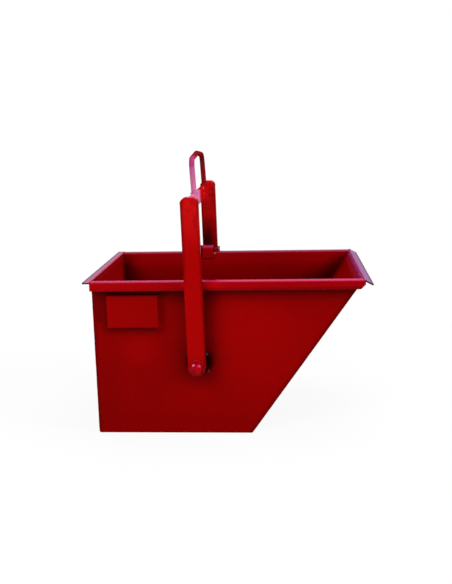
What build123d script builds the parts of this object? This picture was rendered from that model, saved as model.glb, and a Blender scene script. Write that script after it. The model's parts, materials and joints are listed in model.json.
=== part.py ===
# Tipping hoist bucket: a folded sheet-steel body that hangs in a bail on two side pivots.
# X runs from the rear wall to the pouring lip, Y from the near side to the far side, Z is up.
# The origin is the middle of the floor's underside. Sizes are in millimetres, angles in degrees.
import os
from math import cos, radians, sin, tan

from build123d import *

# Body sheet
sheet = 3.0
fold_radius = 3.0  # inside radius of every fold
floor_length = 455.0
body_width = 490.0  # over the outer faces of the side plates
rim_height = 460.0
front_run = 322.0  # how far the front wall leans out between floor and rim

# Rim of the side plates, and the two strips that close it
flange_width = 30.0
skirt_height = 25.0
skirt_chamfer = 13.0
lip_thickness = 4.0
rear_lip_width = 20.0
pour_lip_width = 25.0
pour_lip_fall = 27.5  # below level

# Name plate pan on the near side
plate_length = 151.0
plate_height = 97.0
plate_depth = 13.0
plate_sheet = 2.0
plate_fold = 6.0  # outside radius of its folds
plate_notch = 3.5  # square relief at each corner
plate_from_rear = 42.0
plate_below_rim = 41.0

# Pivots
pivot_from_rear = 303.0
pivot_height = 220.0
doubler_diameter = 64.0
doubler_thickness = 6.0
backing_diameter = 70.0
backing_thickness = 4.0
bolt_diameter = 20.0
bolt_clearance = 0.25  # radial
bolt_tail = 5.0  # thread that stands past the nut
hex_across = 30.0  # flats of bolt head and nut
head_height = 12.5
nut_height = 16.0
hex_chamfer = 1.5
washer_thickness = 3.0
head_washer_diameter = 44.0
nut_washer_diameter = 37.0
sleeve_diameter = 28.0
running_clearance = 0.08  # radial, bush on sleeve
spacer_diameter = 45.0
spacer_clearance = 0.3  # radial, spacer ring on sleeve
side_clearance = 0.5  # end play of the bail on each side

# Bail
bail_lean = 1.0  # rearward, where the arm rests on its stop
arm_width = 50.0
arm_depth = 30.0
arm_wall = 3.0
arm_corner = 5.0
arm_inner_corner = 2.0
arm_gap = 6.0  # between skirt and arm
arm_length = 479.0  # pivot to crown
crown_radius = 17.0
bush_wall = 4.0
crossbar_thickness = 12.0
crossbar_height = 40.0
crossbar_edge = 1.5  # rounding of its long edges
crossbar_below_crown = 2.0
eye_diameter = 16.0
eye_span = 320.0  # between the legs' middles
eye_height = 108.0  # middle of the bar at its peak, over the crossbar
eye_slope = 4.0
eye_lean = 2.0  # rearward of the arms
eye_shoulder_radius = 28.0
eye_peak_radius = 100.0

# Lock between the far arm and the far rim
keeper_width = 50.0
keeper_thickness = 4.0
keeper_fold = 5.0  # inside radius over the outer leg
keeper_bend = 8.0  # inside radius over the wall
keeper_rise = 22.0  # over the rim
keeper_drop = 20.0  # down the inner face of the wall
keeper_reach = 26.0  # from that face to the outside of the outer leg
keeper_shift = 11.5  # rearward of the lock bolt
keeper_clearance = 0.5  # radial, round the lock bolt
lock_rise = 9.0  # bolt over the rim
lock_stroke = 24.0
lock_diameter = 12.0
lock_fit = 0.05  # radial
lock_setback = 0.5  # tip behind the arm's inner face when withdrawn
guide_length = 6.0
collar_diameter = 17.0
collar_thickness = 4.0
collar_clearance = 0.2  # radial
lock_sleeve_wall = 3.0
lock_sleeve_stand = 20.0  # past the arm's outer face
lock_cap_thickness = 5.0
rod_diameter = 8.0
knob_diameter = 28.0
knob_length = 18.0
knob_rounding = 4.0
travel_clearance = 0.5  # left at each end of the stroke

# Stop in front of the far arm
stop_width = 17.0
stop_height = 12.0
stop_finger = 7.0  # thickness of the part in the arm's way
stop_reach = 20.0  # over the arm's depth
stop_clearance = 0.4

# Places that follow from the sizes
rear_x = -floor_length / 2
floor_front_x = floor_length / 2
rim_front_x = floor_front_x + front_run
pivot_x = rear_x + pivot_from_rear
wall_outer = body_width / 2
wall_inner = wall_outer - sheet
skirt_face = wall_outer + flange_width
outer_fold = fold_radius + sheet
arm_inner = skirt_face + arm_gap
arm_outer = arm_inner + arm_depth
doubler_face = wall_outer + doubler_thickness
spacer_end = arm_inner - side_clearance
sleeve_end = arm_outer + side_clearance
head_seat = sleeve_end + washer_thickness
backing_face = wall_inner - backing_thickness
nut_seat = backing_face - washer_thickness
nut_end = nut_seat - nut_height
bush_diameter = sleeve_diameter + 2 * running_clearance + 2 * bush_wall
bolt_hole = bolt_diameter + 2 * bolt_clearance
crossbar_top = arm_length - crossbar_below_crown
lock_z = rim_height + lock_rise
lock_along = (lock_z - pivot_height) / cos(radians(bail_lean))
lock_x = pivot_x - lock_along * sin(radians(bail_lean))
collar_bore = collar_diameter + 2 * collar_clearance
lock_sleeve_diameter = collar_bore + 2 * lock_sleeve_wall
lock_sleeve_end = arm_outer + lock_sleeve_stand
lock_cap_face = lock_sleeve_end - lock_cap_thickness
pivot_axis = Axis((pivot_x, 0, pivot_height), (0, -1, 0))


def rod(diameter, x, z, start, end):
    """Round bar along Y between two stations."""
    seat = Plane(origin=(x, start, z), z_dir=(0, 1, 0))
    return seat * Cylinder(diameter / 2, end - start, align=(Align.CENTER, Align.CENTER, Align.MIN))


def tube(outside, inside, x, z, start, end):
    return rod(outside, x, z, start, end) - rod(inside, x, z, start, end)


def block(x0, x1, y0, y1, z0, z1):
    middle = ((x0 + x1) / 2, (y0 + y1) / 2, (z0 + z1) / 2)
    return Pos(*middle) * Box(x1 - x0, y1 - y0, z1 - z0)


def folded(points, radius, thickness):
    """Sheet section: a path with rounded corners, thickened to its right."""
    path = FilletPolyline(*points, radius=radius)
    return make_face(offset(path, amount=thickness, side=Side.RIGHT))


def near(shape):
    """The same piece on the near side."""
    return mirror(shape, about=Plane.XZ)


def front_wall_x(z):
    return floor_front_x + front_run * z / rim_height


def body_outline(top):
    """Rear edge, floor and front edge of the body, up to a height."""
    corners = ((rear_x, top), (rear_x, 0), (floor_front_x, 0), (front_wall_x(top), top))
    return FilletPolyline(*corners, radius=outer_fold)


def triangle(a, b, c, outer_y):
    """Side-view triangle, one sheet thick, inward from a face."""
    face = Plane.XZ * make_face(Polyline(a, b, c, close=True))
    return Pos(0, outer_y, 0) * extrude(face, amount=sheet)


def wrapper_plate():
    """Rear wall, floor and front wall, folded from one sheet that fits between the side plates."""
    overlong = rim_height + 2 * sheet
    section = make_face(offset(body_outline(overlong), amount=sheet, side=Side.LEFT))
    plate = extrude(Plane.XZ * section, amount=wall_inner, both=True)
    return plate & block(rear_x, rim_front_x, -wall_inner, wall_inner, 0, rim_height)


def side_plate():
    """Side wall whose top is folded out to a flange and down to a skirt."""
    fold_start = rim_height - outer_fold - sheet
    outline = body_outline(fold_start)
    wall_face = Plane.XZ * make_face([outline, Line(outline @ 1, outline @ 0)])
    wall = Pos(0, wall_outer, 0) * extrude(wall_face, amount=sheet)
    rim_points = (
        (wall_inner, fold_start),
        (wall_inner, rim_height),
        (skirt_face, rim_height),
        (skirt_face, rim_height - skirt_height),
    )
    rim = extrude(Plane.YZ.offset(rear_x) * folded(rim_points, outer_fold, sheet), amount=rim_front_x - rear_x)
    skirt_foot = rim_height - skirt_height
    skirt_corner = triangle(
        (rim_front_x - skirt_chamfer, skirt_foot),
        (rim_front_x, skirt_foot),
        (rim_front_x, skirt_foot + skirt_chamfer),
        skirt_face,
    )
    past_front = triangle(
        (front_wall_x(fold_start), fold_start),
        (rim_front_x, fold_start),
        (rim_front_x, rim_height),
        wall_outer,
    )
    return wall + rim - skirt_corner - past_front - rod(bolt_hole, pivot_x, pivot_height, wall_inner, wall_outer)


def rear_lip():
    return block(rear_x - rear_lip_width, rear_x, -skirt_face, skirt_face, rim_height - lip_thickness, rim_height)


def pour_lip(side_plates):
    """Strip along the front edge, falling outward, its back bevelled to the front wall."""
    fall = radians(pour_lip_fall)
    outer_x = rim_front_x + pour_lip_width * cos(fall)
    outer_z = rim_height - pour_lip_width * sin(fall)
    under_x = outer_x - lip_thickness * sin(fall)
    under_z = outer_z - lip_thickness * cos(fall)
    wall_rate = front_run / rim_height
    back_z = (under_z + (under_x - floor_front_x) * tan(fall)) / (1 + wall_rate * tan(fall))
    section = Polyline(
        (rim_front_x, rim_height),
        (outer_x, outer_z),
        (under_x, under_z),
        (front_wall_x(back_z), back_z),
        close=True,
    )
    strip = extrude(Plane.XZ * make_face(section), amount=skirt_face, both=True)
    for plate in side_plates:
        strip = strip - plate
    return strip


def name_plate():
    """Shallow pan, folded on four sides, its open back against the near wall."""
    x0 = rear_x + plate_from_rear
    x1 = x0 + plate_length
    z1 = rim_height - plate_below_rim
    z0 = z1 - plate_height
    face = -wall_outer - plate_depth
    shell = block(x0, x1, face, -wall_outer, z0, z1)
    shell = fillet(shell.faces().sort_by(Axis.Y)[0].edges(), plate_fold)
    inside = block(
        x0 + plate_sheet, x1 - plate_sheet, face + plate_sheet, -wall_outer, z0 + plate_sheet, z1 - plate_sheet
    )
    inside = fillet(inside.faces().sort_by(Axis.Y)[0].edges(), plate_fold - plate_sheet)
    pan = shell - inside
    for x in (x0, x1 - plate_notch):
        for z in (z0, z1 - plate_notch):
            pan = pan - block(x, x + plate_notch, face, -wall_outer, z, z + plate_notch)
    return pan


def hex_block(start, end, chamfered_end):
    """Hexagon along Y with a corner up, its outer edge turned off."""
    seat = Plane(origin=(pivot_x, start, pivot_height), x_dir=(1, 0, 0), z_dir=(0, 1, 0))
    outline = RegularPolygon(hex_across / 2, 6, major_radius=False, rotation=30)
    prism = extrude(seat * outline, amount=end - start)
    corner_radius = hex_across / 2 / cos(radians(30))
    turned = rod(2 * corner_radius, pivot_x, pivot_height, start, end)
    rim = turned.faces().sort_by(Axis.Y)[-1 if chamfered_end > start else 0].edges()
    return prism & chamfer(rim, hex_chamfer)


def pivot_pieces():
    """Everything that the far side's pivot is made of, from the head outside to the nut inside."""
    x, z = pivot_x, pivot_height
    shank = rod(bolt_diameter, x, z, nut_end - bolt_tail, head_seat)
    nut = hex_block(nut_end, nut_seat, nut_end) - rod(bolt_diameter, x, z, nut_end, nut_seat)
    return {
        "pivot_doubler": tube(doubler_diameter, bolt_hole, x, z, wall_outer, doubler_face),
        "backing_plate": tube(backing_diameter, bolt_hole, x, z, backing_face, wall_inner),
        "pivot_sleeve": tube(sleeve_diameter, bolt_hole, x, z, doubler_face, sleeve_end),
        "spacer_ring": tube(
            spacer_diameter, sleeve_diameter + 2 * spacer_clearance, x, z, doubler_face, spacer_end
        ),
        "head_washer": tube(head_washer_diameter, bolt_hole, x, z, sleeve_end, head_seat),
        "nut_washer": tube(nut_washer_diameter, bolt_hole, x, z, nut_seat, backing_face),
        "pivot_bolt": shank + hex_block(head_seat, head_seat + head_height, head_seat + head_height),
        "pivot_nut": nut,
    }


def arm_outline():
    """Side view of an arm standing on its pivot: round foot, crown with rounded corners."""
    shaft = Pos(0, arm_length / 2) * Rectangle(arm_width, arm_length)
    crown = shaft.vertices().sort_by(Axis.Y)[-2:]
    return fillet(crown, crown_radius) + Circle(arm_width / 2)


def at_pivot(face):
    """Side view drawn about the pivot, set upright in the middle of the far arm."""
    middle = (pivot_x, (arm_inner + arm_outer) / 2, pivot_height)
    return Plane(origin=middle, x_dir=(1, 0, 0), z_dir=(0, -1, 0)) * face


def arm_pieces():
    """Rectangular tube with shaped ends, and the bent strips that close them."""
    outline = arm_outline()
    rounded = extrude(at_pivot(outline), amount=arm_depth / 2, both=True)
    hollow = RectangleRounded(arm_width, arm_depth, arm_corner) - RectangleRounded(
        arm_width - 2 * arm_wall, arm_depth - 2 * arm_wall, arm_inner_corner
    )
    low = Plane.XY.offset(pivot_height - arm_width / 2)
    length = arm_length + arm_width / 2
    shaft = extrude(low * Pos(pivot_x, (arm_inner + arm_outer) / 2) * hollow, amount=length)
    band = outline - offset(outline, amount=-arm_wall)
    inside_depth = arm_depth - 2 * arm_wall
    foot_band = band & Pos(0, -arm_width / 2) * Rectangle(arm_width, arm_width)
    crown_band = band & Pos(0, arm_length - crown_radius / 2) * Rectangle(arm_width, crown_radius)
    foot = extrude(at_pivot(foot_band), amount=inside_depth / 2, both=True)
    crown = extrude(at_pivot(crown_band), amount=inside_depth / 2, both=True)
    bush_hole = rod(bush_diameter, pivot_x, pivot_height, arm_inner, arm_outer)
    bush_bore = sleeve_diameter + 2 * running_clearance
    return {
        "arm": (shaft & rounded) - foot - crown - bush_hole,
        "arm_foot": foot,
        "arm_crown": crown,
        "arm_bush": tube(bush_diameter, bush_bore, pivot_x, pivot_height, arm_inner, arm_outer),
    }


def crossbar():
    """Flat bar on edge from arm to arm."""
    section = RectangleRounded(crossbar_thickness, crossbar_height, crossbar_edge)
    middle_z = pivot_height + crossbar_top - crossbar_height / 2
    middle = Plane(origin=(pivot_x, 0, middle_z), x_dir=(1, 0, 0), z_dir=(0, 1, 0))
    return extrude(middle * section, amount=arm_inner, both=True)


def lifting_eye():
    """Round bar bent to a wide arch with a slight peak, leaned back, its feet cut level on the crossbar."""
    foot_z = pivot_height + crossbar_top
    overlong_z = foot_z - eye_diameter
    peak_z = foot_z + eye_height
    half = eye_span / 2
    shoulder_z = peak_z - half * tan(radians(eye_slope))
    route = FilletPolyline(
        (pivot_x, -half, overlong_z),
        (pivot_x, -half, shoulder_z),
        (pivot_x, 0, peak_z),
        (pivot_x, half, shoulder_z),
        (pivot_x, half, overlong_z),
        radius=(eye_shoulder_radius, eye_peak_radius, eye_shoulder_radius),
    )
    arch = sweep(Plane(origin=route @ 0, z_dir=route % 0) * Circle(eye_diameter / 2), path=route)
    arch = arch.rotate(Axis((pivot_x, 0, foot_z), (0, -1, 0)), eye_lean)
    waste = eye_diameter
    below = block(pivot_x - waste, pivot_x + waste, -half - waste, half + waste, overlong_z - waste, foot_z)
    return arch - below


def lock_keeper():
    """Bent strip over the far rim, its outer leg bored for the lock bolt."""
    inner_y = wall_inner - keeper_thickness
    outer_y = wall_inner + keeper_reach
    top = rim_height + keeper_rise
    points = ((inner_y, rim_height - keeper_drop), (inner_y, top), (outer_y, top), (outer_y, rim_height))
    start = lock_x - keeper_shift - keeper_width / 2
    radii = (keeper_bend + keeper_thickness, keeper_fold + keeper_thickness)
    section = folded(points, radii, keeper_thickness)
    strip = extrude(Plane.YZ.offset(start) * section, amount=keeper_width)
    hole = lock_diameter + 2 * keeper_clearance
    return strip - rod(hole, lock_x, lock_z, wall_outer, outer_y)


def arm_stop():
    """Block on the far rim with a finger that reaches out in front of the arm."""
    arm_front = pivot_x - (rim_height - pivot_height) * tan(radians(bail_lean))
    finger_x = arm_front + arm_width / 2 / cos(radians(bail_lean)) + stop_clearance
    front_x = finger_x + stop_finger
    top = rim_height + stop_height
    base = block(front_x - stop_width, front_x, wall_outer + fold_radius, skirt_face, rim_height, top)
    finger = block(finger_x, front_x, skirt_face, arm_inner + stop_reach, rim_height, top)
    return base + finger


def lock_housing():
    """Guide sleeve let through the far arm, and the cap that closes its outer end."""
    guide = lock_diameter + 2 * lock_fit
    sleeve = rod(lock_sleeve_diameter, lock_x, lock_z, arm_inner, lock_sleeve_end)
    sleeve = sleeve - rod(guide, lock_x, lock_z, arm_inner, arm_inner + guide_length)
    sleeve = sleeve - rod(collar_bore, lock_x, lock_z, arm_inner + guide_length, lock_sleeve_end)
    cap_bore = rod_diameter + 2 * lock_fit
    return {
        "lock_sleeve": sleeve,
        "lock_cap": tube(collar_bore, cap_bore, lock_x, lock_z, lock_cap_face, lock_sleeve_end),
    }


def lock_slide():
    """Lock bolt, drawn back into the arm, and the knob that pulls it."""
    tip = arm_inner + lock_setback
    collar_end = lock_cap_face - travel_clearance
    collar_start = collar_end - collar_thickness
    knob_start = lock_sleeve_end + lock_stroke + travel_clearance
    knob_end = knob_start + knob_length
    bolt = rod(lock_diameter, lock_x, lock_z, tip, collar_start)
    bolt = bolt + rod(collar_diameter, lock_x, lock_z, collar_start, collar_end)
    bolt = bolt + rod(rod_diameter, lock_x, lock_z, collar_end, knob_end)
    knob = rod(knob_diameter, lock_x, lock_z, knob_start, knob_end)
    knob = fillet(knob.edges().filter_by(GeomType.CIRCLE), knob_rounding)
    return {
        "lock_bolt": bolt,
        "lock_knob": knob - rod(rod_diameter, lock_x, lock_z, knob_start, knob_end),
    }


def bucket_nodes():
    far_side = side_plate()
    near_side = near(far_side)
    nodes = {
        "wrapper_plate": wrapper_plate(),
        "near_side_plate": near_side,
        "far_side_plate": far_side,
        "rear_lip": rear_lip(),
        "pour_lip": pour_lip((near_side, far_side)),
        "name_plate": name_plate(),
        "lock_keeper": lock_keeper(),
        "arm_stop": arm_stop(),
    }
    for name, piece in pivot_pieces().items():
        nodes["near_" + name] = near(piece)
        nodes["far_" + name] = piece
    return nodes


def bail_nodes():
    """Pieces that swing, drawn upright and then leaned back about the pivot."""
    nodes = {"crossbar": crossbar(), "lifting_eye": lifting_eye()}
    for name, piece in arm_pieces().items():
        nodes["near_" + name] = near(piece)
        nodes["far_" + name] = piece
    nodes = {name: piece.rotate(pivot_axis, bail_lean) for name, piece in nodes.items()}
    sleeve_hole = rod(lock_sleeve_diameter, lock_x, lock_z, arm_inner, arm_outer)
    nodes["far_arm"] = nodes["far_arm"] - sleeve_hole
    nodes.update(lock_housing())
    nodes.update(lock_slide())
    return nodes


def main():
    os.makedirs("parts", exist_ok=True)
    for name, shape in (bucket_nodes() | bail_nodes()).items():
        export_step(shape, f"parts/{name}.step")
        print(name, round(shape.volume / 1000, 1), "cm3")


main()
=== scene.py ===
# Looks of the tipping hoist bucket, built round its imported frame. Metres, +Z up.
import json
from types import SimpleNamespace

import bpy
import numpy as np
from mathutils import Matrix

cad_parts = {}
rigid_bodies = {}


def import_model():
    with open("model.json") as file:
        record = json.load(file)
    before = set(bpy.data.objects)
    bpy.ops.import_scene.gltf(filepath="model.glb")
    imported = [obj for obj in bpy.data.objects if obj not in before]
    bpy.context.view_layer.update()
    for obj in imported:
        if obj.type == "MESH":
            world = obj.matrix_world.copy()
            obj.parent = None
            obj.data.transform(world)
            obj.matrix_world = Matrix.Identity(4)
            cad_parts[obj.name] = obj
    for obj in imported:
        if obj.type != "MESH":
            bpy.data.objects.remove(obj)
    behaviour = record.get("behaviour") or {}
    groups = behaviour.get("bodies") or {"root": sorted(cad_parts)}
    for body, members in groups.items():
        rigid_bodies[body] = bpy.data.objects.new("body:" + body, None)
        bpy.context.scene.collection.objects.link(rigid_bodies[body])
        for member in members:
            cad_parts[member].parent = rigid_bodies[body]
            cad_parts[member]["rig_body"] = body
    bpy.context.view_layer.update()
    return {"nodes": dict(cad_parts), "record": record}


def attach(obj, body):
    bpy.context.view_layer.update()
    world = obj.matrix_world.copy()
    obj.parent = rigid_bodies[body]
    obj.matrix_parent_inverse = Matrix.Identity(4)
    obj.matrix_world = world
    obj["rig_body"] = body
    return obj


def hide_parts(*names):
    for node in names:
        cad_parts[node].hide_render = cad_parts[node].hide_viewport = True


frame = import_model()
scene = bpy.context.scene
nodes = frame["nodes"]
mm = 0.001
zero = (0, 0, 0)
print("frame:", len(nodes), "nodes")


# Main sizes of body and bail

def metres(**lengths):
    # lengths in millimetres, turned to metres
    return {name: np.array(length) * mm for name, length in lengths.items()}


def unit(vectors):
    # the same directions with length 1
    return vectors / np.linalg.norm(vectors, axis=-1, keepdims=True)


shell = metres(
    rear=-227.5, floorFront=227.5, rimFront=549.5, rim=460, wallOut=245, wallIn=242, skirt=275, sheet=3,
    lip=4, lipBack=(547.2, 456.7), pivot=(75.5, 220), doubler=32, backing=35,
)
slope = unit(np.array([shell["rimFront"] - shell["floorFront"], 0, shell["rim"]]))
slopeOut = np.array([slope[2], 0, -slope[0]])
namePlate = metres(
    x=(-185.5, -34.5), z=(322, 419), depth=11.2, reach=20,  # reach is half the depth of the box below
    weldAt=2.17, weldIn=1,  # corner welds: in from the corners, and into the wall
)
plateBox = (  # centre and half size
    (sum(namePlate["x"]) / 2, -shell["wallOut"], sum(namePlate["z"]) / 2),
    (np.ptp(namePlate["x"]) / 2, namePlate["reach"], np.ptp(namePlate["z"]) / 2),
)
bail = dict(
    lean=np.radians(1.0), footStart=0.08,  # angle at which a foot's seam starts
    **metres(
        armIn=281, armOut=311, halfWidth=25, length=479, crown=17, wall=3, bar=(437, 477), barHalf=6,
        barEdge=1.5, eyeAt=160, eyeRadius=8, lock=(71.154, 469), lockRadius=11.7,
    ),
)


# Shader tools

noises = dict(  # scale, detail and roughness
    clouds=(4.5, 4.0, 0.6), mottle=(85.0, 2.0), wave=(5.0, 1.0), patches=(30.0, 4.0, 0.65),
    spotRag=(60.0, 3.0), haloRag=(45.0, 4.0, 0.65), skyPatches=(40.0, 4.0, 0.6),
    haze=(22.0, 3.0), streaks=(34.0, 4.0, 0.65), crownMottle=(50.0, 3.0), headHaze=(90.0, 3.0),
    skin=(450.0, 1.0), grit=(140.0, 3.0, 0.65), lines=(120.0, 2.0),
    lumps=(160.0, 4.0, 0.6), grain=(1600.0, 1.0), mouldHaze=(60.0, 2.0),
)


def newNode(tree, kind, inputs=None, **settings):
    node = tree.nodes.new("ShaderNode" + kind)
    for key, value in settings.items():
        setattr(node, key, value)
    for key, value in (inputs or {}).items():  # a socket is linked, anything else is set
        socket = node.inputs[key]
        if isinstance(value, bpy.types.NodeSocket):
            tree.links.new(value, socket)
        else:
            socket.default_value = (*value, 1) if socket.type == "RGBA" else value
    return node


def treeOf(*values):
    # node tree of the first socket among the values
    return next(value.id_data for value in values if isinstance(value, bpy.types.NodeSocket))


def calc(operation, a, b=0.0, c=0.0, clamp=False):
    inputs = {0: a, 1: b, 2: c}
    return newNode(treeOf(a, b, c), "Math", inputs, operation=operation, use_clamp=clamp).outputs[0]


def scaled(value, factor, plus):
    return calc("MULTIPLY_ADD", value, factor, plus)


def times(first, *others):
    for other in others:
        first = calc("MULTIPLY", first, other)
    return first


def most(first, *others):
    for other in others:
        first = calc("MAXIMUM", first, other)
    return first


def vector(operation, a, b=zero):
    outputs = newNode(treeOf(a), "VectorMath", {0: a, 1: b}, operation=operation).outputs
    return outputs["Value" if operation in ("LENGTH", "DOT_PRODUCT") else "Vector"]


def ramp(value, low, high, smooth=True):
    kind = "SMOOTHSTEP" if smooth else "LINEAR"
    inputs = {"Value": value, "From Min": low, "From Max": high}
    return newNode(treeOf(value), "MapRange", inputs, interpolation_type=kind).outputs[0]


def mix(factor, a, b):
    return newNode(treeOf(factor), "Mix", {0: factor, 6: a, 7: b}, data_type="RGBA").outputs[2]


def splitPlace(tree):
    # object coordinates and normal, whole and in X, Y and Z
    whole = newNode(tree, "TexCoord").outputs
    split = [newNode(tree, "SeparateXYZ", {0: whole[name]}).outputs for name in ("Object", "Normal")]
    return whole, *split


def placeOf(tree):
    return newNode(tree, "TexCoord").outputs["Object"]


def noise(tree, name, stretch=None, **other):
    place = placeOf(tree)
    if stretch:
        place = newNode(tree, "Mapping", {"Vector": place, "Scale": stretch}).outputs[0]
    inputs = dict(zip(("Scale", "Detail", "Roughness"), noises[name]))
    return newNode(tree, "TexNoise", {"Vector": place, **inputs, **other}).outputs[0]


def sway(tree, name):
    # noise on both sides of 0
    return calc("SUBTRACT", noise(tree, name), 0.5)


def newGroup(name, fill, **inputs):
    # fill makes the nodes and gives the outputs; the length of an input's starting value tells its kind
    tree = bpy.data.node_groups.new(name, "ShaderNodeTree")
    for label, value in inputs.items():
        kind = {1: "Float", 3: "Vector", 4: "Color"}[np.size(value)]
        socket = tree.interface.new_socket(label, in_out="INPUT", socket_type="NodeSocket" + kind)
        socket.default_value = value
    outputs = fill(tree, tree.nodes.new("NodeGroupInput").outputs)
    for label, source in outputs.items():
        kind = {"VALUE": "Float", "VECTOR": "Vector", "RGBA": "Color"}[source.type]
        tree.interface.new_socket(label, in_out="OUTPUT", socket_type="NodeSocket" + kind)
    result = tree.nodes.new("NodeGroupOutput").inputs
    for label, source in outputs.items():
        tree.links.new(source, result[label])
    return tree


def toneGroup(tree, given, mottleShare=0.5):
    # two tones of one colour, mixed by broad clouds and fine mottle
    mixed = scaled(sway(tree, "mottle"), mottleShare, sway(tree, "clouds"))
    factor = calc("MULTIPLY_ADD", mixed, given["Contrast"], 0.5, clamp=True)
    return {"Colour": mix(factor, given["Deep"], given["Bright"])}


def reliefGroup(tree, given):
    # height of sprayed paint: pebbled skin over sheet that welding has pulled slightly wavy
    skin = times(noise(tree, "skin"), given["Skin"])
    return {"Height": scaled(noise(tree, "wave"), given["Wave"], skin)}


def edgeGroup(tree, given, turned=(0.995, 0.8), lift=0.25, cut=(1.22, 1.27)):
    # how far the surface normal turns inside a small radius marks the edges; noise breaks it into chips
    rounded = newNode(tree, "Bevel", {"Radius": given["Radius"]}, samples=6).outputs[0]
    flat = newNode(tree, "NewGeometry").outputs["Normal"]
    edge = ramp(vector("DOT_PRODUCT", rounded, flat), *turned)
    broken = scaled(edge, lift, noise(tree, "grit", Scale=given["Scale"]))
    chip = ramp(calc("ADD", broken, given["Chips"]), *cut)
    return {"Chip": times(chip, edge), "Normal": rounded}


def grimeAndShadeGroup(tree, given, shut=(0.95, 0.35), cut=(0.25, 0.6), shaded=(1.0, 0.55)):
    # dirt and painted shade in corners: shut-in places, broken up by noise (Mask); Dusk is painted shade,
    # a broad soft darkening where nearby parts close in
    close = newNode(tree, "AmbientOcclusion", {"Distance": given["Reach"]}, samples=6).outputs["AO"]
    broad = newNode(tree, "AmbientOcclusion", {"Distance": given["Broad"]}, samples=8).outputs["AO"]
    patchy = ramp(noise(tree, "patches"), *cut)
    return {"Mask": times(ramp(close, *shut), patchy), "Dusk": ramp(broad, *shaded)}


def spotGroup(tree, given):
    # ellipsoid round a place, full inside its core, with a ragged edge
    offset = vector("SUBTRACT", placeOf(tree), given["Centre"])
    far = vector("LENGTH", vector("DIVIDE", offset, given["Reach"]))
    far = scaled(sway(tree, "spotRag"), given["Rag"], far)
    return {"Mask": ramp(far, 1.0, given["Core"])}


def haloGroup(tree, given):
    # distance from a box, |place - centre| - half: the mask starts at one distance and is full at another
    away = vector("SUBTRACT", placeOf(tree), given["Centre"])
    away = vector("SUBTRACT", vector("ABSOLUTE", away), given["Half"])
    away = vector("LENGTH", vector("MAXIMUM", away))
    away = scaled(sway(tree, "haloRag"), given["Rag"], away)
    return {"Mask": ramp(away, given["Start"], given["Full"], False)}


def skyGroup(tree, given, cut=(0.15, 0.6), patchShare=0.3):
    # how far a surface faces up, with noise
    up = ramp(splitPlace(tree)[2]["Z"], given["Start"], given["Full"])
    patchy = ramp(noise(tree, "skyPatches"), *cut)
    return {"Mask": times(up, scaled(patchy, patchShare, 1 - patchShare))}


groups = {
    "tone": newGroup("paintTone", toneGroup, Deep=(0, 0, 0, 1), Bright=(1, 1, 1, 1), Contrast=1.0),
    "relief": newGroup("paintRelief", reliefGroup, Skin=0.02, Wave=0.5),
    "edge": newGroup("edgeWear", edgeGroup, Radius=0.0015, Scale=noises["grit"][0], Chips=0.5),
    "grimeAndShade": newGroup("grimeAndShade", grimeAndShadeGroup, Reach=0.02, Broad=0.07),
    "spot": newGroup("spot", spotGroup, Centre=zero, Reach=(0.1, 0.1, 0.1), Core=0.3, Rag=0.3),
    "halo": newGroup("halo", haloGroup, Centre=zero, Half=zero, Start=0.03, Full=0.0, Rag=0.0),
    "sky": newGroup("facingSky", skyGroup, Start=0.7, Full=0.97),
}


def useGroup(tree, name, **inputs):
    return newNode(tree, "Group", inputs, node_tree=groups[name]).outputs


def tones(tree, deep, bright, contrast):
    return useGroup(tree, "tone", Deep=deep, Bright=bright, Contrast=contrast)["Colour"]


def spot(tree, centre, reach, core=0.3, rag=0.3):
    return useGroup(tree, "spot", Centre=centre, Reach=reach, Core=core, Rag=rag)["Mask"]


def halo(tree, centre, half, start, full=0.0, rag=0.0):
    return useGroup(tree, "halo", Centre=centre, Half=half, Start=start, Full=full, Rag=rag)["Mask"]


def newFinish(name, **constants):
    finish = bpy.data.materials.new(name)
    finish.use_nodes = True
    shader = finish.node_tree.nodes["Principled BSDF"]
    for key, value in constants.items():
        shader.inputs[key].default_value = value
    return finish, finish.node_tree, shader.inputs


def hazed(source, spread, base):
    # a value that noise moves up and down: base + spread * (source - 0.5)
    return scaled(source, spread, base - spread / 2)


def linkFinish(tree, shader, colour, rough, height, depth, **normal):
    normal = newNode(tree, "Bump", {"Height": height, "Distance": depth, **normal}).outputs[0]
    for name, source in (("Base Color", colour), ("Roughness", rough), ("Normal", normal)):
        tree.links.new(source, shader[name])


print("shader groups:", len(groups))

# Paint

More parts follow.
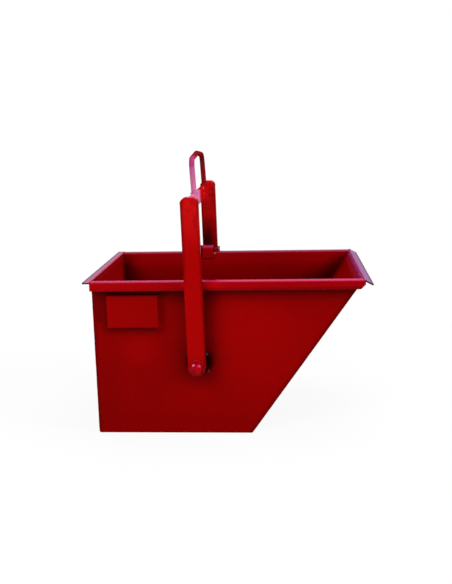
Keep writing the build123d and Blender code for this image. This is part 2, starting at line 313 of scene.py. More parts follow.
coat = dict(  # what all the paints share
    contrast=1.2, chips=0.7, relief=0.001,
    haze=0.12, grimeRough=0.25, mattRough=0.35, gloss=0.5, dulled=0.45,
)
bailChipsAndShade = dict(bare=(0.2, 0.12, 0.11), dirt=(0.05, 0.0006, 0.0006))  # on bail and bolt heads
bodyPaint = dict(
    # painted shade: the bail's red, made darker for the body
    deep=(0.194, 0.0002, 0.0003), bright=(0.239, 0.0003, 0.0005), bare=(0.16, 0.09, 0.085),
    dirt=(0.012, 0.0002, 0.0002), dirtShare=0.62, dusk=0.62,
    roughness=0.24, ior=1.05,
    middle=(0.1, 0, 0.3), outside=(-0.02, 0.02), sideways=(0.7, 0.9),  # tell the faces apart
    outer=(0.18, 0.2), inner=(-0.18, -0.2), nearSide=(0.0, -0.1), rimAt=(0.432, 0.438),
    fresh=[  # colour, centre, reach: painted light, lighter patches on the near wall
        ((0.252, 0.0004, 0.0006), (0.22, -0.245, 0.29), (0.24, 0.05, 0.22)),
        ((0.275, 0.0004, 0.0006), (0.16, -0.245, 0.335), (0.22, 0.05, 0.12)),
        ((0.264, 0.0004, 0.0006), (-0.093, -0.245, 0.257), (0.08, 0.05, 0.075)),
    ],
    freshCore=0.2, freshRag=0.5,
    soil=[  # centre, half size, where it starts and is full, share: painted shade
        (*plateBox, 0.03, 0.008, 0.31),  # round the name plate
        ((-0.11, -0.245, 0.318), (0.072, 0.02, 0.003), 0.02, 0.004, 0.31),
        ((-0.213, -0.245, 0.386), (0.006, 0.02, 0.04), 0.024, 0.004, 0.36),
        ((-0.024, -0.245, 0.428), (0.01, 0.02, 0.006), 0.022, 0.004, 0.42),
        ((0.098, -0.245, 0.43), (0.01, 0.02, 0.004), 0.022, 0.004, 0.4),  # beside the near arm
        ((0.01, -0.245, 0.3), (0.004, 0.02, 0.11), 0.04, 0.004, 0.12),
        ((-0.195, -0.245, 0.13), (0.01, 0.02, 0.06), 0.06, 0.005, 0.12),  # low at the rear
        ((0.066, -0.245, 0.204), (0.0, 0.02, 0.0), 0.074, 0.02, 0.45),  # round the pivot
        ((0.0775, -0.245, 0.218), (0.0, 0.02, 0.0), 0.047, 0.033, 0.93),
    ],
    soilSheet=(0.2475, 0.246), soilBelow=(0.436, 0.434),  # painted shade only on the sheet and under the skirt
    edgeReach=0.017, edgeShare=0.42,  # painted shade along the side walls' rear and front edges
    plate=(0.262, 0.0004, 0.0006), plateFace=(-0.2495, -0.2565),  # lighter on the name plate
    plateSide=(0.4, 0.0006, 0.0009), plateSideReach=0.008,  # painted light on its front side
    plateSideFrom=(-0.05, -0.04), plateSideTop=(0.417, 0.402), plateSideOut=(-0.2435, -0.2445),
    rim=(0.265, 0.0006, 0.002),  # painted light: lighter on the rim and high on the insides
    # painted light on the skirt's upper face, brightest beside the near arm
    skirt=(0.3, 0.0007, 0.002), skirtUpper=(0.437, 0.447), skirtAlong=(0.33, 0.15),
    skirtLit=(0.5, 0.001, 0.003), skirtLitFrom=(0.02, 0.05), skirtLitTo=(0.16, 0.1),  # painted light at the near arm
    skirtLow=(0.446, 0.4385), skirtLowAlong=(-0.1, 0.5), skirtLowShare=0.46,  # darker along its lower edge
    inHigh=(0.405, 0.434), inLow=(0.42, 0.35), inLowShare=0.33,  # insides of the side walls: painted light high up, painted shade low down and towards the corners
    inRearReach=(0.1, 0.03), inRearShare=0.3, inFrontReach=(0.14, 0.02), inCornerShare=0.5,
    inRear=(0.255, 0.0006, 0.001), inRearAt=(-0.215, -0.222),  # painted light on the inside of the rear wall
    inFrontTurn=(-0.6, -0.75), inFrontAt=(0.2, 0.21), inFrontShare=0.14,  # painted shade on the inside of the front wall
    inFrontSide=(0.1, 0.21), inFrontLow=(0.452, 0.4), inFrontSideShare=0.34,  # and more at its corners
    sky=(0.42, 0.012, 0.085), skyShare=0.85, skyFrom=0.6,  # painted sky reflection where it faces up
    # halos: painted sheen on the far rim and the keeper's top, painted shade by the keeper, a darker stop
    # front, a painted highlight line on the rear wall
    halos=[  # colour, centre, half size, where it starts and is full
        ((0.2, 0.01, 0.04), (0.161, 0.26, 0.46), (0.395, 0.018, 0.001), 0.003, 0.001),  # far rim
        ((0.31, 0.011, 0.056), (0.0685, 0.2525, 0.4805), (0.0175, 0.02, 0.0015), 0.005, 0.001),  # keeper
        ((0.07, 0.0003, 0.002), (0.036, 0.2525, 0.47), (0.008, 0.02, 0.02), 0.008, 0.002),
        ((0.03, 0.0002, 0.006), (0.1, 0.285, 0.466), (0.0037, 0.03, 0.0055), 0.003, 0.001),  # stop
        ((0.29, 0.008, 0.018), (-0.2245, 0.0, 0.4485), (0.002, 0.245, 0.0), 0.0025, 0.0005),  # rear wall
    ],
    specks=[  # colour, centre, reach: bare spots of weld
        ((0.5, 0.06, 0.06), (0.0898, 0.242, 0.4565), (0.005, 0.01, 0.005)),
        ((0.2, 0.05, 0.045), (0.1031, -0.245, 0.19), (0.0025, 0.01, 0.007)),
    ],
    rubbed=(0.19, 0.003, 0.027), rubbedTop=(0.275, 0.043, 0.15),  # band under the pouring lip
    rubbedAt=(0.434, 0.452), rubbedAcross=(-0.25, 0.25), rubbedShift=0.002, rubbedShare=0.9,
    streakAt=(0.449, 0.459), streakRag=0.022,
    pour=(0.26, 0.105, 0.235), pourOut=(0.17, 0.1, 0.185),  # front lip: painted sky reflection, darker outwards
    pourFrom=(0.5455, 0.5475), pourAcross=(0.549, 0.57), pourEdge=(0.566, 0.57),
    rear=(0.36, 0.13, 0.21), rearOut=(0.25, 0.14, 0.2),  # rear lip: painted sky reflection, darker outwards
    rearFrom=(-0.228, -0.23), rearAcross=(-0.23, -0.246), rearEdge=(-0.2435, -0.2465),
    # painted shade on the lips' edge faces and along their outer edges
    lipEdge=(0.035, 0.006, 0.022), lipDim=0.85, lipTop=dict(Start=0.3, Full=0.8), lipSide=(0.8, 0.5),
    clearBelow=(0.075, 0.02), clearSkirt=0.75, clearOut=0.12,  # less painted shade and grime
    clearSpots=[  # centre, reach: two inner corners, the wall ahead of the near arm, the keeper
        ((0.505, 0.242, 0.453), (0.06, 0.03, 0.022)),
        ((-0.222, 0.24, 0.443), (0.02, 0.02, 0.03)),
        ((0.15, -0.245, 0.32), (0.045, 0.05, 0.13)),
        ((0.06, 0.24, 0.446), (0.07, 0.02, 0.04)),
    ],
    clearSpotShare=0.7, clearPlate=0.55, clearPlateReach=0.012,
)
bailPaint = dict(
    # painted light: the body's red, made lighter for the bail
    deep=(0.29, 0.0004, 0.0006), bright=(0.345, 0.0006, 0.0008), **bailChipsAndShade,
    dirtShare=0.2, dusk=0.05, roughness=0.24, ior=1.06,
    top=(0.47, 0.0035, 0.004), topAt=(0.53, 0.67),  # painted light: brighter towards the crown
    mottle=(0.33, 0.0018, 0.002), mottleAt=(0.62, 0.68), mottleCut=(0.42, 0.68), mottleShare=0.65,
    # painted sky reflection on faces turned up
    sky=(0.45, 0.02, 0.09), skyShare=0.6, skyFrom=0.7,
    farSide=(-0.05, 0.05),
    bandLow=(0.59, 0.605), bandHigh=(0.642, 0.63), bandShare=0.24,  # painted shade under the far crown
    footSoil=(0.25, 0.205), footShare=0.2,  # darker towards the arms' lower ends
    corner=(0.15, 0.0004, 0.0006), cornerTurn=(0.1, 0.3),  # painted shade along the arms' rounded corners
    cornerFront=(0.0175, 0.025), cornerFrontShare=0.8,
    cornerRear=(-0.0125, -0.025), cornerRearShare=0.85, cornerAbove=(0.44, 0.5),
    front=(0.17, 0.0004, 0.0006), frontTurn=(0.6, 0.8), frontShare=0.8,  # and painted shade on their front faces
    # a dark patch low on the far arm's inner face, by the lock
    smear=(0.014, 0.0005, 0.0006), smearAt=(0.062, 0.281, 0.456), smearReach=(0.044, 0.006, 0.16),
    smearCore=0.25, smearShare=0.95,
    specks=[  # colour, centre, reach: painted highlights on the far arm's welds, painted light on the far crown, a darker near arm corner
        ((0.62, 0.07, 0.065), (0.076, 0.2795, 0.663), (0.005, 0.004, 0.012)),
        ((0.75, 0.16, 0.15), (0.068, 0.281, 0.699), (0.006, 0.004, 0.004)),
        ((0.62, 0.004, 0.012), (0.0705, 0.281, 0.687), (0.0215, 0.02, 0.045)),
        ((0.33, 0.002, 0.003), (0.086, -0.311, 0.632), (0.014, 0.02, 0.036)),
    ],
)
barPaint = dict(
    deep=(0.355, 0.0008, 0.0014), bright=(0.415, 0.001, 0.0018), **bailChipsAndShade,
    dirtShare=0.2, dusk=0.1, roughness=0.5, ior=1.02,
    faded=[  # colour, centre, half size, where it starts and is full, raggedness: painted pink sheen of the sky
        ((0.335, 0.032, 0.128), (0.066, -0.16, 0.79), (0.05, 0.08, 0.008), 0.022, 0.0, 0.012),  # near leg
        ((0.4, 0.09, 0.21), (0.066, -0.16, 0.735), (0.05, 0.08, 0.032), 0.012, 0.0, 0.01),
        ((0.54, 0.15, 0.31), (0.066, -0.185, 0.672), (0.05, 0.097, 0.0255), 0.07, 0.0, 0.06),  # bar's end
        ((0.48, 0.12, 0.26), (0.066, -0.17, 0.7005), (0.05, 0.115, 0.004), 0.006, 0.0, 0.006),  # its top
    ],
    specks=[  # colour, centre, reach: painted highlights on the bar's front
        ((0.72, 0.13, 0.12), (0.073, 0.07, 0.6925), (0.006, 0.018, 0.004)),
        ((0.55, 0.05, 0.05), (0.073, 0.085, 0.674), (0.006, 0.014, 0.004)),
    ],
    worn=(0.165, 0.005, 0.008), wornCore=0.6,  # rubbed through at the peak, and painted shade on the far leg
    wornAt=[((0.0615, 0.01, 0.818), (0.05, 0.2, 0.045)), ((0.064, 0.15, 0.765), (0.05, 0.09, 0.09))],
)
headPaint = dict(
    deep=(0.28, 0.0004, 0.004), bright=(0.33, 0.0006, 0.006), **bailChipsAndShade,
    dirtShare=0.5, dusk=0.2, roughness=0.2, ior=1.1, matt=0.1,
    specks=[  # colour, centre, reach: darker low on one side, painted highlights on the upper corners
        ((0.2, 0.0004, 0.003), (0.0655, -0.324, 0.212), (0.015, 0.012, 0.013)),
        ((0.78, 0.1, 0.2), (0.0675, -0.324, 0.2315), (0.0075, 0.008, 0.0045)),
        ((0.6, 0.035, 0.12), (0.0845, -0.324, 0.229), (0.0085, 0.008, 0.005)),
    ],
)


def paintFinish(name, values, marks):
    # marks are pairs of mask and colour, laid on in turn; they also leave masks for gloss and for less
    # painted shade and grime
    paint = SimpleNamespace(**values)
    finish, tree, shader = newFinish(name, IOR=paint.ior)
    colour, masks = tones(tree, paint.deep, paint.bright, coat["contrast"]), {}
    for mask, tint in marks(tree, paint, masks):
        colour = mix(mask, colour, tint)
    edge, grimeAndShade = useGroup(tree, "edge"), useGroup(tree, "grimeAndShade")
    # painted shade: the broad darkening where parts close in, and dirt with painted shade in corners
    shade = most(times(grimeAndShade["Dusk"], paint.dusk), times(grimeAndShade["Mask"], paint.dirtShare))
    if "clear" in masks:
        shade = times(shade, calc("SUBTRACT", 1.0, masks["clear"]))
    colour = mix(shade, colour, paint.dirt)
    colour = mix(times(edge["Chip"], coat["chips"]), colour, paint.bare)
    rough = hazed(noise(tree, "haze"), coat["haze"], paint.roughness)
    rough = scaled(grimeAndShade["Mask"], coat["grimeRough"], rough)
    rough = scaled(masks["matt"], coat["mattRough"], rough)
    height = useGroup(tree, "relief")["Height"]
    linkFinish(tree, shader, colour, rough, height, coat["relief"], Normal=edge["Normal"])
    if "dull" in masks:
        gloss = scaled(masks["dull"], -coat["dulled"], coat["gloss"])
        tree.links.new(gloss, shader["Specular IOR Level"])
    return finish


def specks(tree, paint):
    for tint, *place in paint.specks:
        yield spot(tree, *place), tint


def skyMark(tree, paint, share):
    # painted sky reflection on faces turned up
    mask = useGroup(tree, "sky", Start=paint.skyFrom)["Mask"]
    return times(mask, share), paint.sky


def bodyZones(tree, paint):
    # masks of the body's faces, and the distances that its marks share
    whole, place, facing = splitPlace(tree)
    x, y, z = (place[axis] for axis in "XYZ")
    outward = times(facing["Y"], y)
    away = vector("SUBTRACT", whole["Object"], paint.middle)
    outside = ramp(vector("DOT_PRODUCT", away, whole["Normal"]), *paint.outside)
    sideways = ramp(calc("ABSOLUTE", facing["Y"]), *paint.sideways)
    rim = ramp(z, *paint.rimAt)
    front = scaled(x, -slope[2], times(z, slope[0]))
    beside = halo(tree, *plateBox, paint.plateSideReach)
    beside = times(beside, ramp(y, *paint.plateSideOut))
    return SimpleNamespace(
        x=x, y=y, z=z, facing=facing, outside=outside, sideways=sideways, rim=rim,
        fromRear=calc("SUBTRACT", x, shell["rear"]),
        fromFront=calc("ADD", front, shell["floorFront"] * slope[2]),
        spread=calc("ABSOLUTE", y),
        outer=ramp(outward, *paint.outer),  # outer and inner faces of the side walls
        inner=ramp(outward, *paint.inner),
        onSkirt=times(outside, sideways, rim),
        beside=times(beside, ramp(x, *paint.plateSideFrom), ramp(z, *paint.plateSideTop)),
        inRear=times(ramp(facing["X"], *paint.sideways), ramp(x, *paint.inRearAt)),
        inFront=times(ramp(facing["X"], *paint.inFrontTurn), ramp(x, *paint.inFrontAt)),
    )


def wallMarks(tree, paint, at):
    # painted light: lighter patches on the near wall
    for tint, *place in paint.fresh:
        yield spot(tree, *place, paint.freshCore, paint.freshRag), tint
    # painted shade along the wall's edges and round the name plate, the near arm and the pivot
    border = ramp(calc("MINIMUM", at.fromRear, at.fromFront), paint.edgeReach, 0.0)
    soil = times(border, at.sideways, paint.edgeShare)
    for *box, share in paint.soil:
        soil = most(soil, times(halo(tree, *box), share))
    sheet = times(ramp(at.spread, *paint.soilSheet), ramp(at.z, *paint.soilBelow))
    yield times(soil, at.outer, sheet), paint.dirt
    # painted light on the name plate's front side
    yield at.beside, paint.plateSide
    yield ramp(at.y, *paint.plateFace), paint.plate


def skirtMarks(paint, at):
    # painted light on the rim
    yield at.rim, paint.rim
    # painted light on the skirt
    upper = times(at.onSkirt, ramp(at.z, *paint.skirtUpper))
    yield times(upper, ramp(at.x, *paint.skirtAlong)), paint.skirt
    lit = times(ramp(at.x, *paint.skirtLitFrom), ramp(at.x, *paint.skirtLitTo, False))
    yield times(lit, upper, ramp(at.y, *paint.nearSide)), paint.skirtLit
    # darker along the skirt's lower edge
    low = times(at.onSkirt, ramp(at.z, *paint.skirtLow), ramp(at.x, *paint.skirtLowAlong, False))
    yield times(low, paint.skirtLowShare), paint.dirt


def insideMarks(tree, paint, at):
    # painted light high on the insides
    yield times(at.inner, ramp(at.z, *paint.inHigh)), paint.rim
    # painted shade low on the insides and towards their corners
    nearRear = times(ramp(at.fromRear, *paint.inRearReach), paint.inRearShare)
    nearFront = times(ramp(at.fromFront, *paint.inFrontReach), paint.inCornerShare)
    deep = calc("ADD", most(nearRear, nearFront), paint.inLowShare)
    yield times(deep, ramp(at.z, *paint.inLow, False), at.inner), paint.dirt
    yield skyMark(tree, paint, times(at.rim, paint.skyShare))
    # painted light on the inside of the rear wall
    yield at.inRear, paint.inRear
    # painted shade on the inside of the front wall, deepest at its corners
    corner = times(ramp(at.spread, *paint.inFrontSide), ramp(at.z, *paint.inFrontLow))
    corner = scaled(corner, paint.inFrontSideShare, paint.inFrontShare)
    yield times(at.inFront, corner), paint.dirt


def lipMarks(tree, paint, at, masks):
    height = scaled(ramp(at.y, *paint.rubbedAcross), -paint.rubbedShift, at.z)
    streaked = ramp(scaled(sway(tree, "streaks"), paint.streakRag, height), *paint.streakAt)
    rubbed = times(ramp(height, *paint.rubbedAt), at.inFront)
    yield times(rubbed, paint.rubbedShare), mix(streaked, paint.rubbed, paint.rubbedTop)
    front, back = ramp(at.x, *paint.pourFrom), ramp(at.x, *paint.rearFrom)
    strips = calc("ADD", front, back, clamp=True)
    # painted shade on the lips' edge faces
    yield times(strips, ramp(at.facing["Z"], *paint.lipSide)), paint.lipEdge
    pour = mix(ramp(at.x, *paint.pourAcross), paint.pour, paint.pourOut)
    rear = mix(ramp(at.x, *paint.rearAcross), paint.rear, paint.rearOut)
    # painted sky reflection on the lips
    lips = times(strips, useGroup(tree, "sky", **paint.lipTop)["Mask"])
    yield lips, mix(front, rear, pour)
    dim = most(ramp(at.x, *paint.rearEdge), ramp(at.x, *paint.pourEdge))
    yield times(dim, paint.lipDim), paint.lipEdge
    masks["matt"] = most(lips, rubbed)


def clearMask(tree, paint, at):
    # corners and shaded places that hold less painted shade and grime
    low = times(ramp(at.z, *paint.clearBelow), at.outside)
    skirt, out = times(at.onSkirt, paint.clearSkirt), times(at.outside, paint.clearOut)
    plate = times(halo(tree, *plateBox, paint.clearPlateReach), paint.clearPlate)
    clear = most(low, skirt, out, at.beside, plate)
    for place in paint.clearSpots:
        clear = most(clear, times(spot(tree, *place), paint.clearSpotShare))
    return clear


def bodyMarks(tree, paint, masks):
    at = bodyZones(tree, paint)
    masks["dull"], masks["clear"] = at.inFront, clearMask(tree, paint, at)
    yield from wallMarks(tree, paint, at)
    yield from skirtMarks(paint, at)
    yield from insideMarks(tree, paint, at)
    # painted sheen, painted shade and a painted highlight line, from the halos
    for tint, *box in paint.halos:
        yield halo(tree, *box), tint
    yield from specks(tree, paint)
    yield from lipMarks(tree, paint, at, masks)


def armCorners(paint, place, facing, farSide):
    # distance across the leaning arm: x + z * tan(lean), both from the pivot
    x, z = (calc("SUBTRACT", place[axis], start) for axis, start in zip("XZ", shell["pivot"]))
    across = scaled(z, np.tan(bail["lean"]), x)
    ahead = times(ramp(across, *paint.cornerFront), paint.cornerFrontShare)
    behind = most(farSide, ramp(place["Z"], *paint.cornerAbove))
    behind = times(behind, ramp(across, *paint.cornerRear), paint.cornerRearShare)
    turned = ramp(calc("ABSOLUTE", facing["Y"]), *paint.cornerTurn)
    return times(most(ahead, behind), turned)


def bailMarks(tree, paint, masks):
    place, facing = splitPlace(tree)[1:]
    height, farSide = place["Z"], ramp(place["Y"], *paint.farSide)
    # painted light towards the crown
    yield ramp(height, *paint.topAt), paint.top
    mottle = ramp(noise(tree, "crownMottle"), *paint.mottleCut)
    yield times(mottle, ramp(height, *paint.mottleAt), paint.mottleShare), paint.mottle
    yield skyMark(tree, paint, paint.skyShare)
    # painted shade under the far crown
    band = times(ramp(height, *paint.bandLow), ramp(height, *paint.bandHigh))
    yield times(band, farSide, paint.bandShare), paint.dirt
    yield times(ramp(height, *paint.footSoil), paint.footShare), paint.dirt
    # painted shade along the arms' corners and on their front faces
    yield armCorners(paint, place, facing, farSide), paint.corner
    masks["dull"] = ramp(facing["X"], *paint.frontTurn)
    yield times(masks["dull"], paint.frontShare), paint.front
    # a dark patch low on the far arm, by the lock
    smear = spot(tree, paint.smearAt, paint.smearReach, paint.smearCore)
    masks["matt"] = times(smear, paint.smearShare)
    yield masks["matt"], paint.smear
    yield from specks(tree, paint)


def barMarks(tree, paint, masks):
    pale = worn = 0.0
    # painted sheen of the sky on the near leg and the bar
    for tint, *box in paint.faded:
        mask = ramp(halo(tree, *box), 0.0, 1.0)
        pale = most(mask, pale)
        yield mask, tint
    yield from specks(tree, paint)
    for place in paint.wornAt:
        worn = most(spot(tree, *place, paint.wornCore), worn)
    yield worn, paint.worn
    masks["matt"], masks["dull"] = worn, calc("SUBTRACT", 1.0, pale)


def headMarks(tree, paint, masks):
    masks["matt"] = times(noise(tree, "headHaze"), paint.matt)
    return specks(tree, paint)


# Plain steel, greased steel (also painted shade round the pivots), moulded knob

zinc = dict(
    dull=(0.36, 0.36, 0.37), clean=(0.56, 0.56, 0.57), contrast=2.0,
    # dark in corners: dirt and painted shade
    grimeAndShade=(0.06, 0.05, 0.045), grimeAndShadeShare=0.6, roughness=0.3, spread=0.2,
    stretch=(1.0, 14.0, 1.0), relief=0.00004,  # fine lines from turning
)
# greased steel, its darkness also painted shade round the pivots
greaseAndShade = dict(
    deep=(0.011, 0.0006, 0.0006), worn=(0.1, 0.04, 0.035), ior=1.06, roughness=0.5, spread=0.3,
    wornAt=(0.1012, -0.249, 0.243), wornReach=(0.005, 0.01, 0.006), relief=0.0004,
    edge=dict(Radius=0.002, Scale=90.0, Chips=0.46),
)
mould = dict(
    deep=(0.012, 0.012, 0.013), bright=(0.024, 0.024, 0.025), contrast=2.0,
    gloss=0.45, roughness=0.42, spread=0.2, relief=0.00003,
)


def zincFinish():
    finish, tree, shader = newFinish("zincSteel", Metallic=1.0)
    colour = tones(tree, zinc["dull"], zinc["clean"], zinc["contrast"])
    grimeAndShade = times(useGroup(tree, "grimeAndShade")["Mask"], zinc["grimeAndShadeShare"])
    colour = mix(grimeAndShade, colour, zinc["grimeAndShade"])
    lines = noise(tree, "lines", zinc["stretch"])
    rough = hazed(lines, zinc["spread"], zinc["roughness"])
    linkFinish(tree, shader, colour, rough, lines, zinc["relief"], Normal=useGroup(tree, "edge")["Normal"])
    return finish


def greaseAndShadeFinish():
    finish, tree, shader = newFinish("greasedSteelAndShade", IOR=greaseAndShade["ior"])
    edge = useGroup(tree, "edge", **greaseAndShade["edge"])
    colour = mix(edge["Chip"], greaseAndShade["deep"], greaseAndShade["worn"])
    colour = mix(spot(tree, greaseAndShade["wornAt"], greaseAndShade["wornReach"]), colour, greaseAndShade["worn"])
    lumps = noise(tree, "lumps")
    rough = hazed(lumps, greaseAndShade["spread"], greaseAndShade["roughness"])
    linkFinish(tree, shader, colour, rough, lumps, greaseAndShade["relief"], Normal=edge["Normal"])
    return finish


def mouldFinish():
    finish, tree, shader = newFinish("mouldedKnob", **{"Specular IOR Level": mould["gloss"]})
    colour = tones(tree, mould["deep"], mould["bright"], mould["contrast"])
    rough = hazed(noise(tree, "mouldHaze"), mould["spread"], mould["roughness"])
    linkFinish(tree, shader, colour, rough, noise(tree, "grain"), mould["relief"])
    return finish


finishes = {
    "body": paintFinish("bodyPaint", bodyPaint, bodyMarks),
    "bail": paintFinish("bailPaint", bailPaint, bailMarks),
    "bar": paintFinish("barPaint", barPaint, barMarks),
    "head": paintFinish("headPaint", headPaint, headMarks),
    "zinc": zincFinish(),
    "greaseAndShade": greaseAndShadeFinish(),
    "mould": mouldFinish(),
}
finishOfSlot = {"dark_steel": "greaseAndShade", "plain_steel": "zinc", "black_plastic": "mould"}
slotOfNode = {part["node"]: part["material_slot"] for part in frame["record"]["subparts"]}
for name, node in nodes.items():
    finish = finishOfSlot.get(slotOfNode[name]) or ("body" if node["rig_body"] == "bucket" else "bail")
    if name.endswith("head_washer"):
        finish = "bail"
    if name in ("crossbar", "lifting_eye"):
        finish = "bar"
    node.data.materials.clear()
    node.data.materials.append(finishes[finish])
print("finishes:", ", ".join(finishes))


# Mesh tools

def turnAngles(count):
    return np.arange(count) * 2 * np.pi / count


def gridQuads(rows, columns, wrapRows=False):
    # quads between neighbouring points of a grid whose columns run round and close
    index = np.arange(rows * columns).reshape(rows, columns)
    index = np.hstack([index, index[:, :1]])
    if wrapRows:
        index = np.vstack([index, index[:1]])
    corners = [index[:-1, :-1], index[:-1, 1:], index[1:, 1:], index[1:, :-1]]
    return np.stack(corners, axis=-1).reshape(-1, 4)


def closedTube(rings, ends=None):
    # rings of points (rows, columns, 3) joined to a skin; two end points close it, or else it runs round
    rows, columns = rings.shape[:2]
    points = rings.reshape(-1, 3)
    quads = gridQuads(rows, columns, ends is None)
    fans = np.zeros((0, 3), int)
    if ends is not None:
        first, turn = np.arange(columns), np.roll(np.arange(columns), -1)
        last = (rows - 1) * columns
        head = np.stack([turn, first, np.full(columns, len(points))], axis=1)
        tail = np.stack([last + first, last + turn, np.full(columns, len(points) + 1)], axis=1)
        fans = np.vstack([head, tail])
        points = np.vstack([points, ends])
    split = np.vstack([quads[:, [0, 1, 2]], quads[:, [0, 2, 3]], fans])
    a, b, c = (points[split[:, k]] - points.mean(axis=0) for k in range(3))
    if np.einsum("ij,ij->", a, np.cross(b, c)) < 0:  # a negative volume is inside out
        quads, fans = quads[:, ::-1], fans[:, ::-1]
    return points, quads, fans


def joined(x, y, z):
    # coordinates of matching shapes, put together to points
    return np.stack(np.broadcast_arrays(x, y, z), axis=-1)


def turnedRings(middle, radius, angle, station):
    # points round an axis along Y, for radius over angle and station
    x, z = middle
    return joined(x + radius * np.cos(angle), station, z + radius * np.sin(angle))


def addPiece(name, parts, finishNames, body, sharpAngle=None, finishIndex=None):
    base, points, faces = 0, [], []
    for skin, quads, fans in parts:
        points.append(skin)
        faces += (quads + base).tolist() + (fans + base).tolist()
        base += len(skin)
    mesh = bpy.data.meshes.new(name)
    mesh.from_pydata(np.vstack(points).tolist(), [], faces)
    mesh.polygons.foreach_set("use_smooth", np.ones(len(faces), bool))
    for finish in finishNames:
        mesh.materials.append(finishes[finish])
    if finishIndex is not None:
        mesh.polygons.foreach_set("material_index", finishIndex)
    if sharpAngle:
        mesh.set_sharp_from_angle(angle=np.radians(sharpAngle))
    mesh.update()
    piece = bpy.data.objects.new(name, mesh)
    scene.collection.objects.link(piece)
    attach(piece, body)
    return piece


# Weld beads

weld = dict(
    around=12, ripple=0.13, swell=0.16, seed=23,
    bow=1.6,  # how far a ripple curves across the bead
    taper=1.3,  # length of an open end, in half widths
    lean=0.2,  # of the bead on top of the pouring lip
    circle=90, corners=64, eye=60, crown=12, foot=40,  # points of the curved paths
    fewest=8, knots=4,  # least numbers of rings and of knots of the drift
    **metres(step=0.9, pitch=3.0, wander=0.35, swellEvery=14),  # pitch is from ripple to ripple
)
beadSizes = metres(  # half width, half height
    rearTop=(2.4, 0.7), pourTop=(3.2, 1.3), pourUnder=(2.8, 2.8), seam=(3.2, 0.8), fillet=(2.6, 2.6),
    small=(2.2, 2.2), keeper=(2.6, 2.4), plate=(2.0, 2.0), bar=(2.4, 2.8), eye=(2.6, 2.8), arm=(0.5, 2.0),
)
rng = np.random.default_rng(weld["seed"])


def drift(along, total):
    # smooth seeded variation between -1 and 1 along a length
    knots = np.linspace(0, total, max(weld["knots"], int(total / weld["swellEvery"]) + 2))
    return np.interp(along, knots, rng.uniform(-1, 1, len(knots)))


def followPath(path, closed):
    # evenly spaced points of a path, their distances from its start, its length and its directions
    path = np.asarray(path, float)
    if closed:
        path = np.vstack([path, path[:1]])
    legs = np.linalg.norm(np.diff(path, axis=0), axis=1)
    total = legs.sum()
    count = max(weld["fewest"], int(round(total / weld["step"])))
    along = np.linspace(0, total, count, endpoint=not closed)
    reached = np.concatenate([[0], np.cumsum(legs)])
    middle = np.stack([np.interp(along, reached, path[:, k]) for k in range(3)], axis=1)
    tangent = np.gradient(middle, axis=0)
    if closed:
        tangent = np.roll(middle, -1, axis=0) - np.roll(middle, 1, axis=0)
    return middle, along, total, unit(tangent)


def bead(path, normal, kind, closed=False):
    # an ellipse carried along the path; cosine ripples over the length, bowed across the bead,
    # and slow drift change its size; open ends shrink to a point as a circle does
    width, height = beadSizes[kind]
    middle, along, total, tangent = followPath(path, closed)
    side = unit(np.cross(tangent, normal))
    up = np.cross(side, tangent)
    angle = turnAngles(weld["around"])
    across, rise = np.cos(angle)[None, :], np.sin(angle)[None, :]
    fade, taper = 1.0, 1.0
    if not closed:
        fade = np.sqrt(np.clip(np.sin(np.pi * along / total), 0, 1))[:, None]  # keeps drift off the ends
        near = np.minimum(along, total - along)[:, None] / (weld["taper"] * width)
        taper = np.sqrt(np.clip(1 - np.clip(1 - near, 0, 1) ** 2, 0, 1))
    phase = 2 * np.pi * along[:, None] / weld["pitch"] - weld["bow"] * across**2
    size = 1 + weld["ripple"] * np.cos(phase) + weld["swell"] * drift(along, total)[:, None] * fade
    size = size * taper
    middle = middle + side * (weld["wander"] * drift(along, total)[:, None] * fade)
    rings = middle[:, None] + side[:, None] * (across * size * width)[..., None]
    rings = rings + up[:, None] * (rise * size * height)[..., None]
    if closed:
        return closedTube(rings)
    return closedTube(rings[1:-1], [middle[0], middle[-1]])


def stitches(start, end, length, gap):
    # pairs of end points of short beads, spread evenly from start to end
    run = np.subtract(end, start)
    total = np.linalg.norm(run)
    count = max(1, int(round((total + gap) / (length + gap))))
    middles = (np.arange(count) + 0.5) / count
    half = length / 2 / total
    return [(start + run * (m - half), start + run * (m + half)) for m in middles]


def crosswise(x, z, half):
    return [(x, -half, z), (x, half, z)]


def circle(x, y, z, radius):
    return turnedRings((x, z), radius, turnAngles(weld["circle"]), y)


def roundedRectangle(u0, u1, v0, v1, radius):
    # corner arcs: the sign of cosine and sine picks the corner
    angle = (np.arange(weld["corners"]) + 0.5) * 2 * np.pi / weld["corners"]
    c, s = np.cos(angle), np.sin(angle)
    u = (u0 + u1) / 2 + np.sign(c) * ((u1 - u0) / 2 - radius) + radius * c
    v = (v0 + v1) / 2 + np.sign(s) * ((v1 - v0) / 2 - radius) + radius * s
    return u, v


seam = metres(  # from and to along each wall; ends left free on the floor
    rear=(12, 448), front=(14, 545), inRear=(20, 440), inFloor=(20, 10), inset=0.5, stitch=45, gap=60,
)


def lipBeads():
    rear, rim, skirt, inside = shell["rear"], shell["rim"], shell["skirt"], shell["wallIn"]
    return [
        bead(crosswise(rear, rim, skirt), (0, 0, 1), "rearTop"),
        bead(crosswise(rear, rim - shell["lip"], inside), (-1, 0, -1), "fillet"),
        bead(crosswise(shell["rimFront"], rim, skirt), (weld["lean"], 0, 1), "pourTop"),
        bead(crosswise(*shell["lipBack"], inside), (1, 0, -1), "pourUnder"),
    ]


